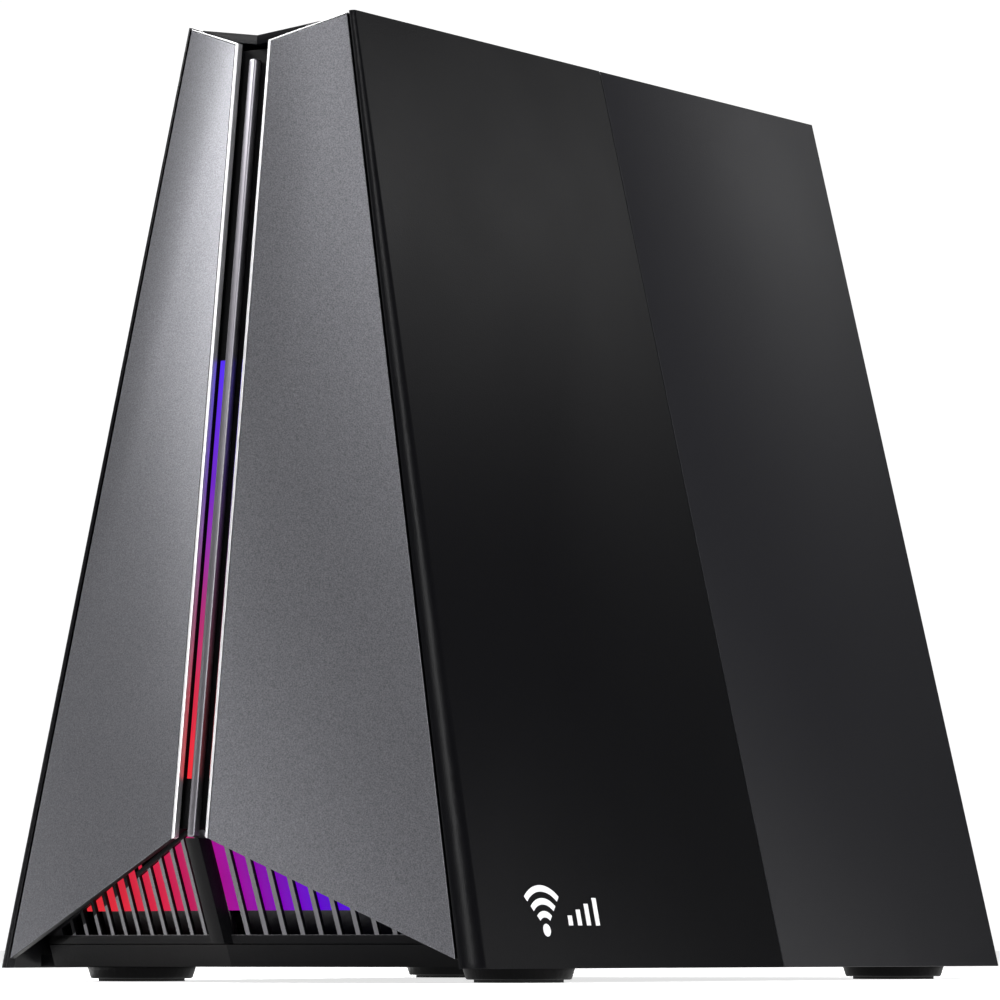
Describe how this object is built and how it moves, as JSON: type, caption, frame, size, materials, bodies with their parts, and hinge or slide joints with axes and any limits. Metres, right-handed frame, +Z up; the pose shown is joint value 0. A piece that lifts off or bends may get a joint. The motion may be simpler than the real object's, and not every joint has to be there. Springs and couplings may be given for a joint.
{
  "type": "wireless router",
  "caption": "Tower-style wireless router: swept grey front wings round a lit vertical channel, ribbed front grille lit from behind, folded black side shells and rear ports.",
  "frame": {"origin": "centre of the bounding box's bottom face, on the surface the router stands on", "axes": "+Y from the lit front to the ports at the back, +Z up, +X to the right when looking at the lit front from before it"},
  "size_m": [0.1524, 0.2199, 0.2],
  "materials": {
    "antenna_board": "thin board with copper track",
    "brass_contact": "gold plated",
    "lead_jacket": "thin coaxial jacket",
    "structure_black": "plain matt",
    "screw_steel": "zinc plated",
    "fin_metal": "satin",
    "jack_black": "moulded",
    "jack_blue": "moulded",
    "pad_rubber": "soft, matt",
    "board_black": "black solder resist",
    "lit_diffuser": "milky, lit from behind",
    "sink_metal": "extruded",
    "board_green": "solder resist",
    "chip_black": "moulded epoxy",
    "button_black": "satin moulded cap",
    "chip_white": "light chip with yellow phosphor",
    "light_guide": "clear, lit from behind",
    "tin_can": "tinned",
    "shell_black": "fine matt texture",
    "pad_grey": "soft gap filler",
    "port_blue": "moulded",
    "wing_grey": "fine spark texture, light metallic grey",
    "bright_trim": "polished edge"
  },
  "bodies": {
    "housing": {"antenna_1": "antenna_board", "antenna_2": "antenna_board", "antenna_3": "antenna_board", "antenna_4": "antenna_board", "antenna_5": "antenna_board", "antenna_6": "antenna_board", "antenna_connectors": "brass_contact", "antenna_leads": "lead_jacket", "base_plate": "structure_black", "base_screws": "screw_steel", "board_screws": "screw_steel", "center_fin": "fin_metal", "dc_jack": "jack_black", "ethernet_jack_1": "jack_blue", "ethernet_jack_2": "jack_black", "ethernet_jack_3": "jack_black", "ethernet_jack_4": "jack_black", "ethernet_jack_5": "jack_black", "foot_front_left": "structure_black", "foot_front_right": "structure_black", "foot_pads": "pad_rubber", "foot_rear_left": "structure_black", "foot_rear_right": "structure_black", "front_carrier": "structure_black", "front_grille": "structure_black", "glow_board_left": "board_black", "glow_board_right": "board_black", "grille_diffuser_left": "lit_diffuser", "grille_diffuser_right": "lit_diffuser", "heatsink": "sink_metal", "inner_frame": "structure_black", "key_board": "board_green", "key_switches": "chip_black", "light_board": "board_black", "light_chips": "chip_white", "light_strip_left": "light_guide", "light_strip_right": "light_guide", "main_board": "board_green", "port_plate": "structure_black", "power_switch": "chip_black", "processor_chips": "chip_black", "rear_panel": "structure_black", "rf_shield_cans": "tin_can", "side_front_left": "shell_black", "side_front_right": "shell_black", "side_rear_left": "shell_black", "side_rear_right": "shell_black", "thermal_pads": "pad_grey", "top_cover": "shell_black", "usb_shell": "tin_can", "usb_tongue": "port_blue", "wing_panel_left": "wing_grey", "wing_panel_right": "wing_grey", "wing_trim_left": "bright_trim", "wing_trim_right": "bright_trim"},
    "power_button": {"power_button": "button_black"},
    "wps_button": {"wps_button": "button_black"},
    "light_button": {"light_button": "button_black"},
    "reset_button": {"reset_button": "button_black"}
  },
  "joints": [
    {"name": "power_button_press", "type": "slide", "parent": "housing", "child": "power_button", "axis": [0, -1, 0], "range_m": [0, 0.0022], "stiffness_N_per_m": 500, "springref_m": -0.0004},
    {"name": "wps_button_press", "type": "slide", "parent": "housing", "child": "wps_button", "axis": [0, -1, 0], "range_m": [0, 0.0008], "stiffness_N_per_m": 700, "springref_m": -0.0004},
    {"name": "light_button_press", "type": "slide", "parent": "housing", "child": "light_button", "axis": [0, -1, 0], "range_m": [0, 0.0008], "stiffness_N_per_m": 700, "springref_m": -0.0004},
    {"name": "reset_button_press", "type": "slide", "parent": "housing", "child": "reset_button", "axis": [0, -1, 0], "range_m": [0, 0.0008], "stiffness_N_per_m": 700, "springref_m": -0.0004}
  ]
}
